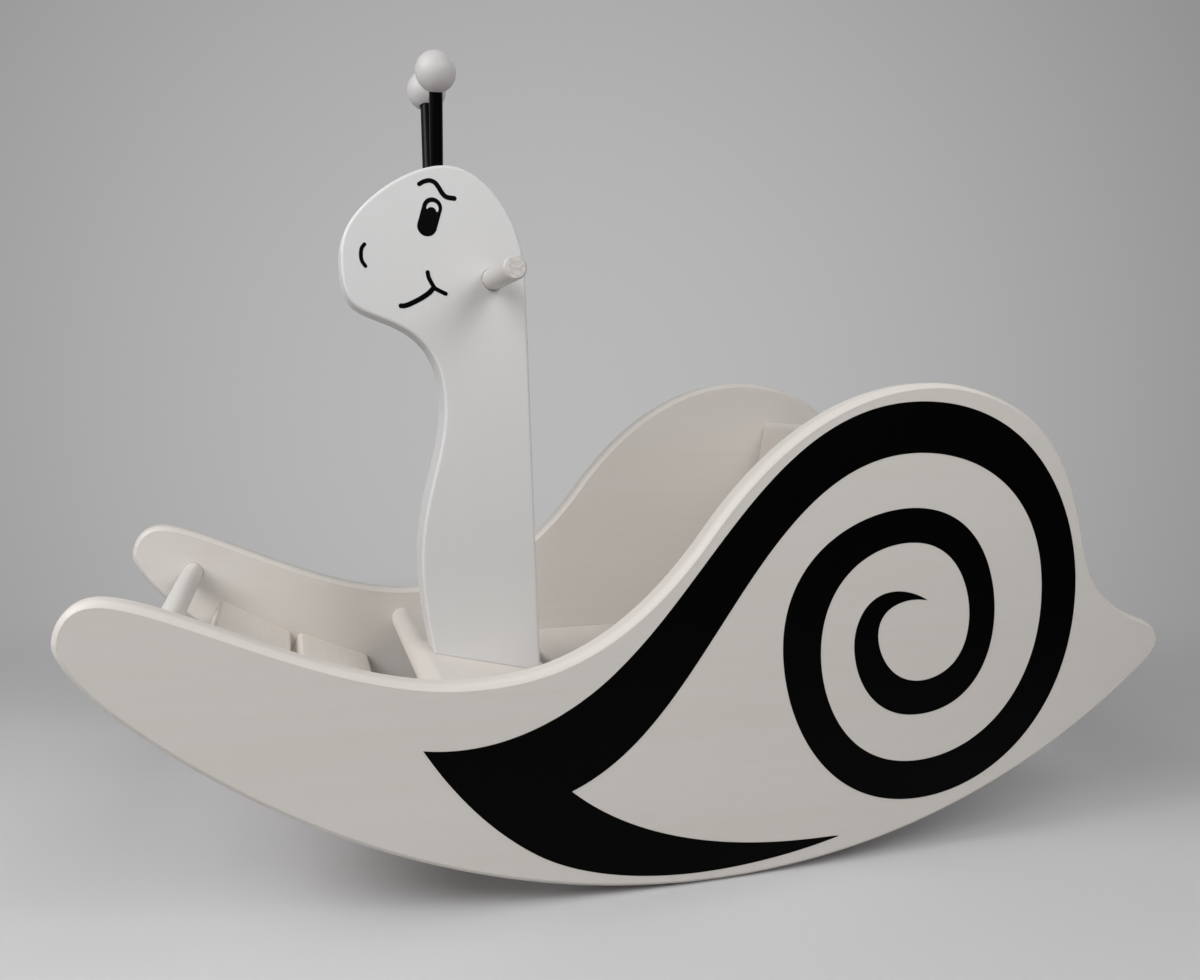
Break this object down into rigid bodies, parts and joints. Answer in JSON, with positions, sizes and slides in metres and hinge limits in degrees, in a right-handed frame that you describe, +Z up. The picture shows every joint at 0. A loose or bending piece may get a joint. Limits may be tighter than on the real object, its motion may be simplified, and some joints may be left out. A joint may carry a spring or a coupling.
{
  "type": "rocking snail toy",
  "caption": "Wooden rocking toy shaped like a snail: curved side panels on round rockers, seat and backrest between them, flat neck and head with handle bar and feelers.",
  "frame": {"origin": "on the floor, under the middle of the length and of the width", "axes": "+X along the length towards the tail, so the head looks to -X; +Y across, towards the snail's right side; +Z up"},
  "size_m": [0.788, 0.35, 0.5892],
  "materials": {
    "white_glaze": "satin white glaze over fine-grained wood",
    "black_lacquer": "gloss black lacquer",
    "bare_beech": "bare beech, glued",
    "zinc_steel": "zinc-plated steel"
  },
  "bodies": {
    "root": {"left_side_panel": "white_glaze", "right_side_panel": "white_glaze", "front_seat_board": "white_glaze", "rear_seat_board": "white_glaze", "backrest_board": "white_glaze", "front_foot_slat": "white_glaze", "rear_foot_slat": "white_glaze", "crossbar": "white_glaze", "neck_board": "white_glaze", "handle_bar": "white_glaze", "left_feeler_ball": "white_glaze", "right_feeler_ball": "white_glaze", "left_feeler_stalk": "black_lacquer", "right_feeler_stalk": "black_lacquer", "front_seat_pin_fore_left": "bare_beech", "front_seat_pin_aft_left": "bare_beech", "rear_seat_pin_fore_left": "bare_beech", "rear_seat_pin_aft_left": "bare_beech", "front_slat_pin_fore_left": "bare_beech", "front_slat_pin_aft_left": "bare_beech", "rear_slat_pin_fore_left": "bare_beech", "rear_slat_pin_aft_left": "bare_beech", "backrest_pin_low_left": "bare_beech", "backrest_pin_high_left": "bare_beech", "front_seat_pin_fore_right": "bare_beech", "front_seat_pin_aft_right": "bare_beech", "rear_seat_pin_fore_right": "bare_beech", "rear_seat_pin_aft_right": "bare_beech", "front_slat_pin_fore_right": "bare_beech", "front_slat_pin_aft_right": "bare_beech", "rear_slat_pin_fore_right": "bare_beech", "rear_slat_pin_aft_right": "bare_beech", "backrest_pin_low_right": "bare_beech", "backrest_pin_high_right": "bare_beech", "neck_screw_front": "zinc_steel", "neck_screw_rear": "zinc_steel"}
  },
  "joints": []
}
